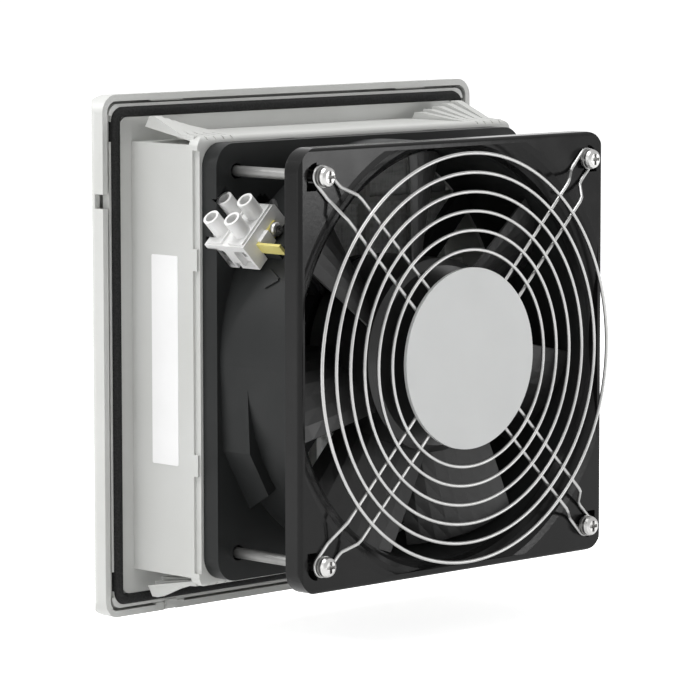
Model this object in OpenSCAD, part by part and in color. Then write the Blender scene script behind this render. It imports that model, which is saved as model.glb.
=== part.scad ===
// Cabinet filter fan: a louvred wall unit that blows filtered air into an enclosure.
// Origin: centre of the wall cut-out on the outer wall face, where the seal rests.
// +Y runs along the fan axis into the enclosure, +Z is up, +X is right seen from the front.

/* [Cover] */
// Side of the square front cover
cover_w = 145; // [140:1:160]
// Depth of the cover from its rear edge to its front face
cover_depth = 6.8; // [6.4:0.1:9]
// Wall thickness of the cover
cover_wall = 1.8; // [1.4:0.1:2.2]
// Rounding of the cover's front edges
cover_edge_r = 3.5; // [2:0.1:4]
// Rounding of the cover's four corners
cover_corner_r = 5; // [3:0.5:8]
// Distance from the wall face to the cover's rear edge
cover_standoff = 1; // [0.8:0.1:1.5]
// Side of the square louvre field
louvre_w = 112; // [90:1:116]
// Number of louvre slats
louvre_count = 16; // [10:1:20]
// Thickness of one slat
slat_t = 1.5; // [1:0.1:2]
// Slope of the slats, which shed rain to the front
slat_angle = 40; // [20:1:50]
// Height of the tool notches above the fan axis
notch_z = 43.3; // [30:0.1:50]
// Height of one tool notch along the cover's side
notch_h = 4; // [3:0.1:6]
// Depth of one tool notch from the cover's rear edge
notch_d = 3.4; // [2:0.1:4]

/* [Cover hinge] */
// Distance of the hinge axis from the wall face
hinge_y = 2.4; // [2.2:0.1:2.6]
// Distance of the hinge axis from the cover's lower outline
hinge_rise = 1.5; // [1.4:0.1:1.6]
// Radius of the hinge pins on the cover
hinge_pin_r = 0.8; // [0.6:0.05:0.9]
// Distance of the hinge eyes from the middle
hinge_x = 48; // [30:1:55]
// Width of one hinge eye
hinge_eye_w = 4; // [3:0.1:6]

/* [Base] */
// Gap between the cover's wall and the base all round
cover_gap = 0.8; // [0.6:0.1:1.2]
// Width of the lip outside the seal
lip_w = 0.8; // [0.6:0.1:2]
// Width of the seal groove
groove_w = 2.9; // [2.5:0.1:5]
// Height of the seal above the lip
seal_proud = 1.4; // [0.8:0.1:2]
// Step from the seal's foot to its narrower bead on each side
bead_step = 0.75; // [0.4:0.05:0.9]
// Depth of the seal groove
groove_d = 1; // [0.6:0.1:1.4]
// Thickness of the base plate under the groove
plate_t = 1.6; // [1.4:0.1:3]
// Side of the square collar that passes through the wall
collar_w = 123.4; // [122:0.1:124]
// Depth of the collar from the wall face to the fan seat
collar_depth = 25.5; // [22:0.5:32]
// Least gap between the collar and the seal groove
collar_gap = 0.5; // [0.3:0.1:2]
// Wall thickness of the collar
collar_wall = 2.4; // [2:0.1:3]
// Rounding of the collar's corners
collar_corner_r = 3; // [2:0.5:6]
// Thickness of the fan seat at the end of the collar
seat_t = 2; // [1.6:0.1:3]
// Radius of the round air opening in the fan seat
seat_bore_r = 57.5; // [54:0.5:58]
// Radius of the screw posts
post_r = 5; // [4:0.1:6]
// Length of the screw posts
post_len = 13; // [10:0.5:14]
// Number of filter grid bars each way
grid_count = 5; // [3:1:7]
// Width of one grid bar
grid_bar_w = 1.6; // [1.2:0.1:2.5]
// Depth of the grid bars
grid_bar_d = 3; // [2:0.1:4]

/* [Latch fingers] */
// Number of fingers in one corner group
finger_count = 5; // [3:1:6]
// Distance from finger to finger
finger_pitch = 3.1; // [2.8:0.1:3.6]
// Distance of the outermost finger from the collar's side
finger_inset = 1; // [0.5:0.1:2]
// Slot between two fingers
finger_slot = 0.5; // [0.4:0.1:0.8]
// Height of the outermost finger's tip above the collar wall
finger_rise = 4.9; // [3:0.1:6]
// Distance from the wall face to the outermost finger's tip
finger_grip = 4.2; // [3.6:0.1:5]
// Step in tip height from one finger to the next
finger_step_z = 0.75; // [0.3:0.05:0.9]
// Step in grip from one finger to the next
finger_step_y = 0.65; // [0.3:0.05:0.8]
// Thickness of a finger at its tip
finger_tip_t = 2.9; // [2:0.1:3.2]
// Thickness of a finger at its root
finger_root_t = 1.5; // [1.2:0.1:2]
// Distance from a finger's root to the fan seat
finger_root = 3.5; // [3:0.1:5]

/* [Fan] */
// Side of the square fan frame
fan_w = 120; // [118:0.5:121]
// Depth of the fan frame
fan_depth = 38; // [36:0.5:40]
// Spacing of the fan's mounting holes
hole_pitch = 104.8; // [104:0.1:105.5]
// Least distance from a mounting hole's middle to the frame's edge
hole_edge = 6; // [5:0.1:7.4]
// Radius of the fan's mounting holes
hole_r = 2.15; // [2.1:0.05:2.4]
// Thickness of the fan's two flanges
flange_t = 5.7; // [4:0.1:7]
// Rounding of the fan frame's corners
fan_corner_r = 6.5; // [4:0.1:8]
// Rounding of the inner flange's front edges
flange_edge_r = 1.2; // [0.6:0.1:1.5]
// Radius of the pockets beside the screw heads
pocket_r = 3.8; // [3.4:0.1:4.2]
// Depth of those pockets
pocket_depth = 3; // [2:0.1:4]
// Inner radius of the fan's barrel
barrel_r = 57; // [56:0.1:57.2]
// Wall thickness of the barrel
barrel_wall = 2; // [1.6:0.1:2.3]
// Radius of the outlet flare at the fan's inner face
flare_r = 64.5; // [60:0.5:66]
// Thickness of the side walls left beside the flare
flare_side_t = 1.9; // [1.5:0.1:3]
// Number of motor struts
strut_count = 4; // [3:1:5]
// Width of one strut
strut_w = 6; // [4:0.5:9]
// Radius of the motor plate
motor_plate_r = 26; // [22:0.5:28]
// Thickness of the motor plate
motor_plate_t = 3.5; // [3:0.1:5]

/* [Impeller and motor] */
// Radius of the impeller's hub
hub_r = 27; // [26:0.5:30]
// Wall thickness of the hub
hub_wall = 2.4; // [1.8:0.1:3]
// Tip clearance between the blades and the barrel
tip_gap = 0.8; // [0.6:0.1:2]
// Number of blades
blade_count = 7; // [5:1:9]
// Chord of a blade at its root
root_chord = 25; // [18:0.5:28]
// Chord of a blade at its tip
tip_chord = 32; // [22:0.5:36]
// Pitch angle of a blade at its root
root_pitch = 46; // [35:1:55]
// Pitch angle of a blade at its tip
tip_pitch = 29; // [20:1:35]
// Thickness of a blade
blade_t = 1.4; // [1:0.1:2]
// Hollow of a blade's curve
blade_camber = 2.2; // [0:0.1:3]
// Radius of the shaft
shaft_r = 2.5; // [2:0.1:3]
// Air gap between stator and rotor
air_gap = 0.4; // [0.3:0.05:0.6]
// Thickness of the steel rotor ring
rotor_t = 3; // [2:0.1:3.5]
// Running clearance inside the bearings
bearing_play = 0.02; // [0.01:0.01:0.05]

/* [Guard] */
// Diameter of the guard's wire
wire_d = 1.0; // [0.8:0.1:1.6]
// Number of guard rings
ring_count = 6; // [4:1:7]
// Radius of the outermost ring
ring_outer_r = 56.5; // [54:0.1:58]
// Distance from ring to ring
ring_pitch = 5.3; // [4.5:0.1:6]
// Radius of the guard's middle disc
disc_r = 25.1; // [22:0.1:27]
// Thickness of the middle disc
disc_t = 1.0; // [0.6:0.1:1.5]
// Height of the rings over the fan's face
ring_height = 4.9; // [4:0.1:9]
// Distance between the two wires of one leg
leg_gap = 7.4; // [6:0.1:10]
// Radius of the wire loops round the screws
loop_r = 2.2; // [2:0.1:2.6]

/* [Screws] */
// Radius of the long screws
screw_r = 1.5; // [1.4:0.05:2]
// Radius of the screw heads
head_r = 2.8; // [2.6:0.1:4]
// Height of the screw heads
head_h = 2.2; // [1.8:0.1:3]
// Length of thread in the screw posts
thread_len = 10; // [8:0.5:11]
// Thickness of the washers
washer_t = 0.8; // [0.5:0.1:1.2]
// Radius of the washers
washer_r = 2.9; // [2.6:0.1:4.5]

/* [Terminal] */
// Slope of the terminal block's towers above the X axis
tower_angle = 45; // [40:1:50]
// Gap between the terminal's foot and the fan's barrel
terminal_gap = 0.1; // [0.05:0.05:0.5]
// Distance of the terminal from the frame's diagonal
terminal_shift = 11.8; // [11:0.1:13]
// Distance from pole to pole
pole_pitch = 8.2; // [7.5:0.1:9]
// Distance from the fan's seat to the first pole
pole_start = 5.5; // [5.2:0.1:9]
// Distance between the two screws of one pole
clamp_pitch = 6.8; // [6:0.1:8]
// Radius of one tower
tower_r = 2; // [1.8:0.1:2.4]
// Length of one tower
tower_len = 5.6; // [5:0.1:7.6]
// Height of the terminal body under the towers
terminal_h = 7.6; // [7:0.1:8]
// Length of the terminal body along its wires
terminal_len = 16.2; // [14:0.1:18]
// Drop of the skirt round the wire entries
skirt_h = 2.0; // [1.5:0.1:2]
// Length of that skirt along the wires
skirt_len = 4.0; // [3:0.1:4]
// Radius of the wire bores
wire_bore_r = 1.5; // [1.2:0.1:1.8]

/* [Hidden] */
$fn = 96;
tiny = 0.01;
fit = 0.3;

// stations along the fan axis
cover_back = -cover_standoff;
cover_front = cover_back - cover_depth;
lip_y = -seal_proud;
groove_y = lip_y - groove_d;
plate_front = groove_y - plate_t;
seat_y = collar_depth;
fan_back = seat_y + fan_depth;
far_flange_y = seat_y + flange_t;
near_flange_y = fan_back - flange_t;
ring_y = fan_back + ring_height;
leg_y = ring_y - 0.96 * wire_d;
loop_y = fan_back + wire_d / 2;
loop_mid = loop_r + wire_d / 2;
washer_y = fan_back + wire_d;
head_y = washer_y + washer_t;
washer_hole_r = screw_r + 0.2;

// snap ridges of the cover
ridge_len = 12;

// gaps in the lip
lip_gap_z = 63.2;
lip_gap_w = 7.2;

// widths across the fan axis
cover_in = cover_w / 2 - cover_wall;
base_half = cover_in - cover_gap;
lip_in = base_half - lip_w;
groove_in = lip_in - groove_w;
bead_out = lip_in - bead_step;
bead_in = groove_in + bead_step;
collar_half = min(collar_w / 2, groove_in - collar_gap);
collar_in = collar_half - collar_wall;
hole_half = min(hole_pitch / 2, fan_w / 2 - hole_edge);
loop_at = hole_half * sqrt(2);
barrel_out = barrel_r + barrel_wall;

// latch fingers
finger_w = finger_pitch - finger_slot;
recess_d = 2.3;
recess_floor_t = 1.2;
recess_w = finger_inset + finger_count * finger_pitch + 0.5;
finger_tip_z = collar_half + finger_rise;

// filter between the slats and the grid
filter_t = 9;
filter_y = -3;
filter_w = 2 * (collar_in - recess_floor_t - fit);
grid_y = filter_y + filter_t;

// slats
slat_pitch = louvre_w / louvre_count;
slat_back = filter_y - fit;
slat_front = cover_front + 0.4;

// hinge
hinge_z = -cover_w / 2 + hinge_rise;
hinge_eye_r = hinge_rise;
hinge_bore_r = hinge_pin_r + 0.06;
hinge_slot = hinge_eye_w + 2 * fit;
hinge_wall_back = -1.6;
pin_len = 1.5;

// rear rim of the collar
rabbet_w = 2;
rabbet_d = 0.8;
rabbet_len = 116;
slot_end_d = 1;
first_slot_x = collar_half - finger_inset + finger_slot / 2;
rim_round_r = 1.6;
rim_notch_h = 1;
lug_x = 28.2;
lug_w = 6;

// inner flange
pocket_shift = 1.2;
arrow_angle = 24;
arrow_spread = 31;
arrow_len = 4.8;
arrow_w = 0.8;
arrow_tip_y = near_flange_y - 8.7;
block_tilt = [2.5, 30];
block_reach = [barrel_out - 0.1, barrel_out + 3];
block_w = 10.6;
block_end = [-11.7, -5.4];

// motor
strut_inset = 0.3;
stack_start = 11;
stack_h = 12;
hub_top_y = fan_back - 5.5;
hub_top_t = 2.6;
hub_open_y = seat_y + 7.5;
rotor_out = hub_r - hub_wall;
rotor_in = rotor_out - rotor_t;
stator_r = rotor_in - air_gap;
stack_y0 = seat_y + stack_start;
stack_y1 = stack_y0 + stack_h;
coil_h = 4;
coil_in = 10;
coil_out = stator_r - 2;
tube_r = 8;
bearing_r = 6.5;
bearing_w = 4;
bearing_rise = 4.5;
bearing_span = 14.5;
bearing_y = [seat_y + bearing_rise, seat_y + bearing_rise + bearing_span];
tube_end = bearing_y[1] + bearing_w;
ball_r = 1;
inner_ring_r = shaft_r + 0.9;
outer_ring_in = inner_ring_r + 2 * ball_r;
ball_count = 7;
shaft_y0 = seat_y + 2.8;
clip_y = bearing_y[0] - 0.7;
clip_t = 0.6;
clip_groove_r = shaft_r - 0.5;
blade_mid_y = (hub_open_y + hub_top_y) / 2 + 0.5;
blade_tip_r = barrel_r - tip_gap;

// terminal
tower_tip = barrel_out + terminal_gap + terminal_h + tower_len;
pole_y = [for (i = [0, 1]) seat_y + pole_start + i * pole_pitch];
body_x1 = -tower_len;
body_x0 = body_x1 - terminal_h;
body_y0 = pole_y[0] - 3.9;
body_y1 = pole_y[1] + 3.2;
clamp_x = body_x1 - 4.7;
sleeve_w = 4;
tower_out_r = tower_r + 0.4;
pad_z = -terminal_len / 2 + skirt_len + fit;
pole_half = 2.8;
end_chamfer = 0.6;
pole_rise = 0.7;
skirt_side = [3.6, 3.2];
entry_w = 4.6;
entry_h = 5.6;
entry_d = 1.8;
clamp_screw_r = 1.25;
earth_t = 0.8;
earth_x = body_x1 - 5.4;
earth_z = 2.9;
earth_depth = 1;
earth_head_r = 2;
tab_w = 3.4;
tab_drop = 7.2;
tab_rim = 0.4;
tongue_len = 9;
bridge_z0 = earth_z - tab_drop + earth_t + 0.2;
bridge_z1 = earth_z - earth_head_r - 0.2;
earth_hole_r = 1.3;
earth_screw_r = 1.25;

// motor leads
lead_r = 1;
lead_bed_y = seat_y + motor_plate_t + lead_r + 0.05;
lead_end_z = terminal_len / 2 - 2.2;

plastic = [0.81, 0.82, 0.80];
black = [0.09, 0.09, 0.09];
steel = [0.78, 0.78, 0.77];

// a flat outline in X and Z, extruded along Y
module slab(y0, y1) {
    translate([0, y1, 0])
        rotate([90, 0, 0])
            linear_extrude(y1 - y0)
                children();
}

// an outline in Y and Z, extruded along X about x = 0
module across(w) {
    rotate([90, 0, 90])
        linear_extrude(w, center = true)
            children();
}

// a solid of revolution about the fan axis from points [radius, y]
module turned(points) {
    rotate([-90, 0, 0])
        rotate_extrude()
            polygon(points);
}

module rod_y(r, y0, y1) {
    translate([0, y0, 0])
        rotate([-90, 0, 0])
            cylinder(r = r, h = y1 - y0);
}

module rounded_square(w, r) {
    square([w, w - 2 * r], center = true);
    square([w - 2 * r, w], center = true);
    for (x = [-1, 1], z = [-1, 1])
        translate([x * (w / 2 - r), z * (w / 2 - r)])
            circle(r);
}

module square_ring(outer, inner, outer_r, inner_r) {
    difference() {
        rounded_square(outer, outer_r);
        rounded_square(inner, inner_r);
    }
}

module at_corners() {
    for (x = [-1, 1], z = [-1, 1])
        translate([x * hole_half, 0, z * hole_half])
            children();
}

// the four sides of a square, each turned so that it lies at +Z
module on_sides(angles = [0, 90, 180, 270]) {
    for (a = angles)
        rotate([0, a, 0])
            children();
}

// a bar of round section between two points
module bar(p, q, r) {
    d = q - p;
    len = norm(d);
    translate(p)
        rotate([0, acos(d[2] / len), atan2(d[1], d[0])])
            cylinder(r = r, h = len);
}

module cross_recess(size, depth) {
    for (a = [0, 90])
        rotate([0, a, 0])
            translate([-size / 2, -depth, -size / 7])
                cube([size, depth + 1, size / 3.5]);
}

// round pan head with a cross recess, its underside at y = 0
module pan_head(r, h) {
    difference() {
        turned([[0, 0], [r, 0], [r, 0.45 * h], [0.88 * r, 0.78 * h], [0.6 * r, h], [0, h]]);
        translate([0, h, 0])
            cross_recess(1.15 * r, 0.6 * h);
    }
}

// outside shape of the cover: three prisms that meet with rounded front edges
module cover_outline(half, front, back, edge_r, corner_r) {
    intersection() {
        slab(front, back)
            rounded_square(2 * half, corner_r);
        across(2 * half + 2)
            edge_profile(half, front, back, edge_r);
        rotate([0, 90, 0])
            across(2 * half + 2)
                edge_profile(half, front, back, edge_r);
    }
}

module edge_profile(half, front, back, r) {
    translate([front + r, -half])
        square([back - front - r, 2 * half]);
    translate([front, -half + r])
        square([r + tiny, 2 * (half - r)]);
    for (z = [-1, 1])
        translate([front + r, z * (half - r)])
            circle(r);
}

// one sloping slat, seen along X
module slat_profile() {
    rise = (slat_back - slat_front) * tan(slat_angle);
    polygon([
        [slat_front, -rise / 2 - slat_t / 2],
        [slat_back, rise / 2 - slat_t / 2],
        [slat_back, rise / 2 + slat_t / 2],
        [slat_front, -rise / 2 + slat_t / 2]
    ]);
}

module louvres() {
    for (i = [0 : louvre_count])
        translate([0, 0, (i - louvre_count / 2) * slat_pitch])
            across(louvre_w + 2)
                slat_profile();
    for (x = [-1, 0, 1])
        translate([x * louvre_w / 3.2 - 0.8, slat_back - 2.2, -louvre_w / 2 - 1])
            cube([1.6, 2.2, louvre_w + 2]);
}

module hinge_slots() {
    for (x = [-1, 1])
        translate([x * hinge_x - hinge_slot / 2, -hinge_y - hinge_eye_r - fit, -cover_w / 2 - 1])
            cube([hinge_slot, hinge_eye_r + hinge_y + 2, 2 * hinge_rise + 2]);
}

module hinge_pins() {
    for (x = [-1, 1], side = [-1, 1])
        translate([x * hinge_x + side * (hinge_slot / 2 - fit), -hinge_y, hinge_z])
            rotate([0, side * 90, 0])
                translate([0, 0, -pin_len + fit])
                    cylinder(r = hinge_pin_r, h = pin_len + 2);
}

// thickened ends that carry the hinge pins beside each slot
module hinge_cheeks() {
    for (x = [-1, 1], side = [-1, 1])
        translate([x * hinge_x + side * (hinge_slot / 2 + 1.5), -hinge_y, hinge_z])
            rotate([0, 90, 0])
                cylinder(r = hinge_pin_r + 0.3, h = 3, center = true);
}

module front_cover() {
    color(plastic) {
        difference() {
            union() {
                difference() {
                    cover_outline(cover_w / 2, cover_front, cover_back, cover_edge_r, cover_corner_r);
                    cover_outline(cover_in, cover_front + cover_wall, cover_back + 1,
                        cover_edge_r - cover_wall, cover_corner_r - cover_wall);
                    translate([-louvre_w / 2, cover_front - 1, -louvre_w / 2])
                        cube([louvre_w, cover_wall + 2, louvre_w]);
                }
                intersection() {
                    louvres();
                    cover_outline(cover_in, cover_front, slat_back, 0.4, 2);
                }
                hinge_cheeks();
            }
            hinge_slots();
            // the lower wall stays short, so that it clears the base as it swings
            translate([-cover_in, hinge_wall_back, -cover_w / 2 - 1])
                cube([2 * cover_in, 2, cover_wall + 2]);
            for (x = [-1, 1])
                translate([x * cover_w / 2, cover_back - notch_d / 2 + 0.5, notch_z])
                    cube([4 * cover_wall, notch_d + 1, notch_h], center = true);
        }
        hinge_pins();
        // snap ridges under the upper wall
        for (x = [-1, 1])
            translate([x * hinge_x, cover_back - 1.2, cover_in])
                rotate([0, 90, 0])
                    cylinder(r = 0.5, h = ridge_len, center = true);
    }
}

module base_plate() {
    difference() {
        slab(plate_front, lip_y)
            rounded_square(2 * base_half, cover_corner_r - cover_wall);
        slab(groove_y, 1)
            square_ring(2 * lip_in, 2 * groove_in, 4, 3);
        // gaps in the lip beside the corners
        for (x = [-1, 1], z = [-1, 1])
            translate([x * base_half - lip_w, groove_y, z * lip_gap_z - lip_gap_w / 2])
                cube([2 * lip_w, groove_d + 1, lip_gap_w]);
        slab(plate_front - 1, 1)
            rounded_square(2 * collar_in, collar_corner_r);
    }
}

module collar() {
    difference() {
        slab(plate_front, seat_y)
            rounded_square(2 * collar_half, collar_corner_r);
        slab(plate_front - 1, seat_y - seat_t)
            rounded_square(2 * collar_in, collar_corner_r);
        rod_y(seat_bore_r, seat_y - seat_t - 1, seat_y + 1);
        on_sides([90, 270])
            side_rabbet();
        on_sides([0, 180]) {
            rim_round();
            rim_marks();
            finger_recesses();
        }
    }
}

// rabbet along the rear edge of a side wall, left out at its two lugs
module side_rabbet() {
    difference() {
        translate([-rabbet_len / 2, seat_y - rabbet_w, collar_half - rabbet_d])
            cube([rabbet_len, rabbet_w + 1, rabbet_d + 1]);
        for (x = [-1, 1])
            translate([x * lug_x - lug_w / 2, seat_y - rabbet_w - 1, collar_half - rabbet_d - 1])
                cube([lug_w, rabbet_w + 0.6, rabbet_d + 3]);
    }
}

// rounded rear edge of the upper and lower walls
module rim_round() {
    difference() {
        translate([-collar_half - 1, seat_y - rim_round_r, collar_half - rim_round_r])
            cube([2 * collar_half + 2, rim_round_r + 1, rim_round_r + 1]);
        translate([-collar_half - 2, seat_y - rim_round_r, collar_half - rim_round_r])
            rotate([0, 90, 0])
                cylinder(r = rim_round_r, h = 2 * collar_half + 4);
    }
}

// rear face of the upper and lower walls: ends of the finger slots and two notches over the fan
module rim_marks() {
    for (x = [-1, 1]) {
        for (i = [1 : finger_count - 1])
            translate([x * (first_slot_x - i * finger_pitch), seat_y - finger_root, collar_half])
                translate([-finger_slot / 2, -1, -slot_end_d])
                    cube([finger_slot, finger_root + 2, slot_end_d + 1]);
        translate([x * lug_x - lug_w / 2, seat_y - rabbet_w, collar_half - rim_round_r - rim_notch_h])
            cube([lug_w, rabbet_w + 1, rim_notch_h]);
    }
}

module finger_recesses() {
    for (x = [-1, 1])
        translate([x * (collar_half - recess_w / 2 + 0.5), lip_y, collar_half])
            translate([-recess_w / 2 - 0.5, 0, -recess_d])
                cube([recess_w + 1, seat_y - finger_root - lip_y, recess_d + 1]);
}

// floors that back the finger recesses inside the collar
module recess_floors() {
    for (x = [-1, 1], z = [-1, 1])
        translate([x * (collar_half - recess_w / 2), groove_y, z * (collar_in - recess_floor_t / 2)])
            translate([-recess_w / 2, 0, -recess_floor_t / 2])
                cube([recess_w, seat_y - groove_y, recess_floor_t]);
}

// one finger of the upper wall, seen along X from its root to its tip
module finger_profile(step) {
    root_y = seat_y - finger_root;
    tip_y = finger_grip - step * finger_step_y;
    tip_z = finger_tip_z - step * finger_step_z;
    polygon([
        [root_y + 1, collar_half - finger_root_t],
        [tip_y - 0.9, tip_z - finger_tip_t],
        [tip_y + 0.9, tip_z],
        [tip_y + 3, tip_z],
        [root_y - 4, collar_half + 0.35],
        [root_y + 1, collar_half]
    ]);
}

module fingers() {
    for (x = [-1, 1], z = [0, 1], i = [0 : finger_count - 1])
        mirror([0, 0, z])
            translate([x * (collar_half - finger_inset - finger_w / 2 - i * finger_pitch), 0, 0])
                across(finger_w)
                    finger_profile(i);
}

module filter_grid() {
    step = 2 * collar_in / (grid_count + 1);
    for (i = [1 : grid_count], a = [0, 90])
        rotate([0, a, 0])
            translate([-collar_in + i * step - grid_bar_w / 2, grid_y, -collar_in - tiny])
                cube([grid_bar_w, grid_bar_d, 2 * collar_in + 2 * tiny]);
}

module screw_posts() {
    at_corners() {
        rod_y(post_r, seat_y - post_len, seat_y);
        for (a = [0, 90])
            rotate([0, a, 0])
                translate([-0.8, seat_y - post_len + 2, -collar_in + hole_half])
                    cube([1.6, post_len - 2, 2 * (collar_in - hole_half)]);
    }
}

module hinge_eyes() {
    for (x = [-1, 1])
        translate([x * hinge_x, 0, 0])
            difference() {
                union() {
                    translate([0, -hinge_y, hinge_z])
                        rotate([0, 90, 0])
                            cylinder(r = hinge_eye_r, h = hinge_eye_w, center = true);
                    translate([-hinge_eye_w / 2, -hinge_y - hinge_eye_r, hinge_z])
                        cube([hinge_eye_w, 2 * hinge_eye_r, -base_half - hinge_z + lip_w / 2]);
                }
                translate([0, -hinge_y, hinge_z])
                    rotate([0, 90, 0])
                        cylinder(r = hinge_bore_r, h = hinge_eye_w + 2, center = true);
            }
}

module base_frame() {
    color(plastic) {
        difference() {
            union() {
                base_plate();
                collar();
                recess_floors();
                filter_grid();
                screw_posts();
            }
            at_corners()
                rod_y(screw_r, seat_y - thread_len - 1, seat_y + 1);
        }
        fingers();
        hinge_eyes();
    }
}

module panel_seal() {
    color(black) {
        slab(groove_y, -seal_proud / 2)
            square_ring(2 * lip_in - 0.1, 2 * groove_in + 0.1, 4, 3);
        slab(-seal_proud / 2 - tiny, 0)
            square_ring(2 * bead_out, 2 * bead_in, 4 - bead_step, 3 + bead_step);
    }
}

module filter_mat() {
    color([0.93, 0.94, 0.93])
        slab(filter_y, filter_y + filter_t)
            square(filter_w, center = true);
}

// flared outlet: an elliptic quarter round from the barrel to the flange's face
module flare() {
    depth = flange_t + 1.5;
    turned(concat(
        [[0, fan_back - depth - 1], [barrel_r, fan_back - depth - 1]],
        [for (a = [0 : 15 : 90])
            [barrel_r + (flare_r - barrel_r) * (1 - cos(a)), fan_back - depth * (1 - sin(a))]],
        [[flare_r, fan_back + 1], [0, fan_back + 1]]
    ));
}

// air passage through the frame, kept off the side walls
module air_passage() {
    rod_y(barrel_r, seat_y - 1, fan_back - flange_t);
    intersection() {
        flare();
        slab(seat_y, fan_back + 2)
            square(fan_w - 2 * flare_side_t, center = true);
    }
}

module struts() {
    for (i = [0 : strut_count - 1])
        rotate([0, 45 + i * 360 / strut_count, 0])
            translate([-strut_w / 2, seat_y + strut_inset, motor_plate_r - 3])
                cube([strut_w, motor_plate_t - 2 * strut_inset, barrel_r - motor_plate_r + 4]);
}

module motor_mount() {
    struts();
    rod_y(motor_plate_r, seat_y, seat_y + motor_plate_t);
    rod_y(tube_r, seat_y, tube_end);
}

// moulded arrow for the air flow on the barrel, pointing into the enclosure
module flow_arrow() {
    rotate([0, -arrow_angle, 0])
        translate([barrel_out - 0.3, arrow_tip_y, 0])
            for (s = [-1, 1])
                rotate([s * arrow_spread, 0, 0])
                    translate([0, -arrow_len, -arrow_w / 2])
                        cube([0.7, arrow_len, arrow_w]);
}

// block with two flat faces on the barrel beside the outer flange, cut off at a slant below
module barrel_block() {
    inside = barrel_r - 7;
    intersection() {
        rotate([0, block_tilt[1], 0])
            translate([(inside + block_reach[1]) / 2, far_flange_y - 1, 0])
                across(block_reach[1] - inside)
                    polygon([[0, 24], [block_w + 1, 24], [block_w + 1, block_end[1]], [0, block_end[0]]]);
        rotate([0, block_tilt[0], 0])
            translate([inside - 5, far_flange_y - 2, -fan_w / 2])
                cube([block_reach[0] - inside + 5, block_w + 4, fan_w / 2]);
    }
}

// hole through the barrel and a channel in the outer flange for the motor leads
module lead_hole() {
    inside = diagonal_point(barrel_r - 3, lead_bed_y, 0);
    outside = diagonal_point(barrel_out + 3, lead_bed_y + 1.5, 0);
    bar(inside, outside, 2 * lead_r + 0.7);
    out = tower_tip + clamp_x;
    bar(diagonal_point(out, pole_y[0], terminal_shift), diagonal_point(out, pole_y[0], -1.5), lead_r + 0.4);
}

// pockets beside the screws: round at the outer corner, square towards the middle
module screw_pockets() {
    for (x = [0, 1], z = [0, 1])
        mirror([x, 0, 0])
            mirror([0, 0, z])
                translate([hole_half + pocket_shift, fan_back - pocket_depth, hole_half]) {
                    intersection() {
                        rod_y(pocket_r, 0, pocket_depth + 1);
                        translate([0, -1, 0])
                            cube([2 * pocket_r, pocket_depth + 3, 2 * pocket_r]);
                    }
                    translate([0, 0, -pocket_r])
                        cube([pocket_r - 0.1, pocket_depth + 1, pocket_r + 0.5]);
                }
}

// side view of the inner flange with its two rounded edges
module flange_profile() {
    translate([near_flange_y, -fan_w / 2])
        square([flange_t - flange_edge_r, fan_w]);
    translate([near_flange_y, flange_edge_r - fan_w / 2])
        square([flange_t, fan_w - 2 * flange_edge_r]);
    for (s = [-1, 1])
        translate([fan_back - flange_edge_r, s * (fan_w / 2 - flange_edge_r)])
            circle(flange_edge_r);
}

module inner_flange() {
    intersection() {
        slab(near_flange_y, fan_back)
            rounded_square(fan_w, fan_corner_r);
        across(fan_w)
            flange_profile();
        rotate([0, 90, 0])
            across(fan_w)
                flange_profile();
    }
}

module fan_frame() {
    color(black) {
        difference() {
            union() {
                slab(seat_y, far_flange_y)
                    rounded_square(fan_w, fan_corner_r);
                inner_flange();
                rod_y(barrel_out, seat_y, fan_back - 1);
                flow_arrow();
                barrel_block();
                terminal_place()
                    terminal_pad();
            }
            air_passage();
            at_corners()
                rod_y(hole_r, seat_y - 1, fan_back + 1);
            lead_hole();
            screw_pockets();
            terminal_place()
                terminal_relief();
        }
        difference() {
            motor_mount();
            rod_y(bearing_r, seat_y + 2.4, tube_end + 1);
        }
    }
}

function blade_pitch(k) = root_pitch + (tip_pitch - root_pitch) * k;
function blade_chord(k) = root_chord + (tip_chord - root_chord) * k;
function blade_radius(k) = hub_r - 0.8 + (blade_tip_r - hub_r + 0.8) * k;

// a point of the blade: k runs from root to tip, u along the chord, side is one of its two faces
function blade_point(k, u, side) =
    let (
        r = blade_radius(k),
        p = blade_pitch(k),
        s = u * blade_chord(k),
        edge = 1 - 2.6 * u * u,
        h = blade_camber * (1 - 4 * u * u) + side * blade_t / 2 * edge,
        tangent = s * cos(p) - h * sin(p) - 5 * k,
        axial = s * sin(p) + h * cos(p),
        a = tangent / r * 180 / PI
    )
    [r * sin(a), blade_mid_y + axial, r * cos(a)];

module blade() {
    spans = 5;
    steps = 8;
    ring = 2 * (steps + 1);
    points = [
        for (i = [0 : spans])
            each concat(
                [for (j = [0 : steps]) blade_point(i / spans, j / steps - 0.5, 1)],
                [for (j = [steps : -1 : 0]) blade_point(i / spans, j / steps - 0.5, -1)]
            )
    ];
    skin = [
        for (i = [0 : spans - 1], j = [0 : ring - 1])
            let (
                a = i * ring + j,
                b = i * ring + (j + 1) % ring,
                c = a + ring,
                d = b + ring
            )
            each [[a, b, d], [a, d, c]]
    ];
    root = [for (j = [0 : steps - 1]) each cap(0, j, ring)];
    tip = [for (j = [0 : steps - 1]) each [for (f = cap(spans * ring, j, ring)) [f[0], f[2], f[1]]]];
    polyhedron(points, concat(skin, root, tip));
}

function cap(base, j, ring) =
    let (a = base + j, b = base + j + 1, c = base + ring - 2 - j, d = base + ring - 1 - j)
    [[a, c, b], [a, d, c]];

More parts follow.
